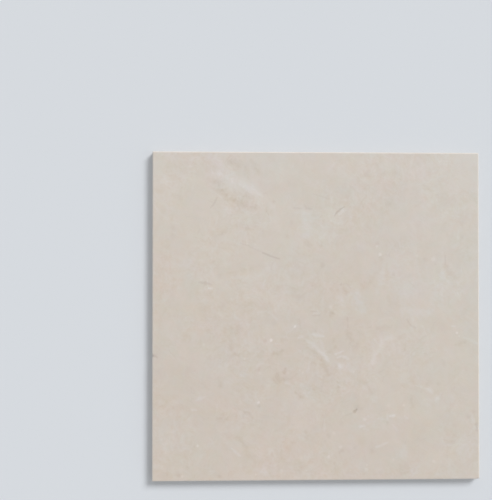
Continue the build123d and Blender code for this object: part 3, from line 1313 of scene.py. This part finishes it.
    def _map_for_baking(self, shape: bmesh.types.BMesh) -> None:
        """Lays the tile's surfaces side by side on one map, with most of it for the polished face.

        Args:
            shape: the whole mesh, closed.
        """
        size = self.high.x - self.low.x
        thick = self.high.z - self.low.z
        gap = 0.012
        face_share = 0.80
        back_share = 1.0 - face_share - 3.0 * gap
        past_face = face_share + 2.0 * gap
        strip = back_share / 8.0
        layer = shape.loops.layers.uv.new("OFBake")
        polished = FINISHES.index(POLISHED_FACE)
        back = FINISHES.index(CALIBRATED_BACK)
        for face in shape.faces:
            facing = face.calc_center_median()
            on_x = abs(facing.x) > abs(facing.y)
            side = (0 if facing.x > 0.0 else 1) if on_x else (2 if facing.y > 0.0 else 3)
            for loop in face.loops:
                at = loop.vert.co - self.low
                spot = Vector((gap + face_share * at.x / size, gap + face_share * at.y / size))
                if face.material_index == back:
                    spot.x = past_face + back_share * at.x / size
                elif face.material_index != polished:
                    along, across = (at.y, at.x) if on_x else (at.x, at.y)
                    climb = (at.z + min(across, size - across)) / (thick + self.arris)
                    spot = Vector((gap + face_share * along / size,
                                   past_face + (2.0 * side + 1.7 * climb) * strip))
                loop[layer].uv = spot


@dataclass(frozen=True)
class Sun:
    """The key light: soft, even over the whole floor, and not mirrored in the polish.

    Args:
        name: its name.
        comes_from: the direction that its light comes from.
        strength: its light on a surface that faces it, in watts for each square metre.
        angle_deg: how wide it looks, which sets how soft its shadows are.
        colour: its linear colour.
    """

    name: str
    comes_from: tuple[float, float, float]
    strength: float
    angle_deg: float
    colour: tuple[float, float, float]

    def build(self) -> bpy.types.Object:
        """Hangs the light.

        Returns:
            The light's object.
        """
        data = bpy.data.lights.new(self.name, "SUN")
        data.energy = self.strength
        data.angle = math.radians(self.angle_deg)
        data.color = self.colour
        sun = bpy.data.objects.new(self.name, data)
        sun.location = self.comes_from
        sun.rotation_euler = (-Vector(self.comes_from)).to_track_quat("-Z", "Y").to_euler()
        sun.visible_glossy = False
        bpy.context.scene.collection.objects.link(sun)
        return sun

    def level(self) -> float:
        """The share of a white floor's full brightness that this light gives it."""
        return self.strength * Vector(self.comes_from).normalized().z / math.pi


@dataclass(frozen=True)
class Studio:
    """The plain pale floor, the soft light and the camera.

    Args:
        floor_colour: the floor's linear colour.
        sky: how bright the light from all round is.
        key: the light that throws the shadows.
        glow: how much brighter than the backdrop the middle of its softbox shines in the polish.
        glow_reach_deg: how far that glow spreads from its middle.
        floor_radius: how far the floor goes.
        floor_drop: how far the floor lies under the tile's back, so that the two don't meet.
        camera_place: where the camera stands, over the face.
        camera_tilt_deg: how it is turned about X, Y and Z from looking straight down.
        field_deg: what it takes in over the picture's long side.
    """

    floor_colour: tuple[float, float, float] = (0.675, 0.704, 0.740)
    sky: float = 0.56
    key: Sun = Sun("key_light", (0.72, 0.78, 1.0), 2.0, 24.0, (1.0, 1.0, 1.0))
    glow: float = 2.4
    glow_reach_deg: float = 30.0
    floor_radius: float = 40.0
    floor_drop: float = 0.1 * MM
    camera_place: tuple[float, float, float] = (-0.0968, 0.0490, 0.8752)
    camera_tilt_deg: tuple[float, float, float] = (0.80, -2.05, 0.03)
    field_deg: float = 30.0

    def build(self) -> None:
        """Sets up everything round the tile."""
        self._lay_floor()
        self._light_world()
        self.key.build()
        self._set_camera()
        bpy.context.scene.view_settings.view_transform = "Standard"

    def _lay_floor(self) -> None:
        """Lays the floor."""
        shape = bmesh.new()
        bmesh.ops.create_circle(shape, cap_ends=True, segments=96, radius=self.floor_radius,
                                matrix=Matrix.Translation((0.0, 0.0, CAD_LOW.z - self.floor_drop)))
        material = bpy.data.materials.new("pale_floor")
        material.use_nodes = True
        shader = material.node_tree.nodes["Principled BSDF"]
        shader.inputs["Base Color"].default_value = (*self.floor_colour, 1.0)
        shader.inputs["Roughness"].default_value = 1.0
        shader.inputs["Specular IOR Level"].default_value = 0.0
        floor = finished_piece("studio_floor", shape, [material])

    def _light_world(self) -> None:
        """Lights the tile evenly from all round, before a backdrop as bright as the lit floor."""
        world = bpy.data.worlds.new("studio_world")
        world.use_nodes = True
        bpy.context.scene.world = world
        wiring = Wiring(world.node_tree)
        ray = wiring.node("ShaderNodeLightPath").outputs
        seen = wiring.math("MAXIMUM", ray["Is Camera Ray"], ray["Is Glossy Ray"])
        seen = wiring.math("MAXIMUM", seen, ray["Is Transmission Ray"])
        level = self.sky + self.key.level()
        towards = wiring.node("ShaderNodeTexCoord").outputs["Generated"]
        close = wiring.vector("DOT_PRODUCT", towards, Vector(self.key.comes_from).normalized())
        glow = wiring.span(close, math.cos(math.radians(self.glow_reach_deg)), 1.0, 0.0, self.glow)
        shine = wiring.math("MULTIPLY_ADD", glow, ray["Is Glossy Ray"], 1.0)
        backdrop = wiring.scaled([level * channel for channel in self.floor_colour], shine)
        pick = wiring.node("ShaderNodeMix", data_type="RGBA")
        wiring.feed(pick.inputs["Factor"], seen)
        wiring.feed(pick.inputs["A"], (self.sky, self.sky, self.sky, 1.0))
        wiring.feed(pick.inputs["B"], backdrop)
        background = world.node_tree.nodes["Background"]
        wiring.feed(background.inputs["Color"], pick.outputs["Result"])
        wiring.feed(background.inputs["Strength"], 1.0)

    def _set_camera(self) -> None:
        """Sets the camera over the tile, as the picture was taken."""
        data = bpy.data.cameras.new("camera")
        data.lens = data.sensor_width / 2.0 / math.tan(math.radians(self.field_deg) / 2.0)
        data.clip_start = 0.01
        data.clip_end = 60.0
        camera = bpy.data.objects.new("camera", data)
        camera.location = self.camera_place
        camera.rotation_euler = [math.radians(turn) for turn in self.camera_tilt_deg]
        bpy.context.scene.collection.objects.link(camera)
        bpy.context.scene.camera = camera


def main() -> None:
    """Builds the tile and the studio, and reports the piece."""
    logging.basicConfig(level=logging.INFO, format="%(message)s")
    tile_parts = MarbleTile("marble_tile")
    stone = CreamMarble().build(tile_parts.high.z)
    tile = tile_parts.build([finish.build(stone) for finish in FINISHES])
    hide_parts("marble_tile")
    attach(tile, "root")
    log.info("%s: %d faces", tile.name, len(tile.data.polygons))
    Studio().build()


if __name__ == "__main__":
    main()
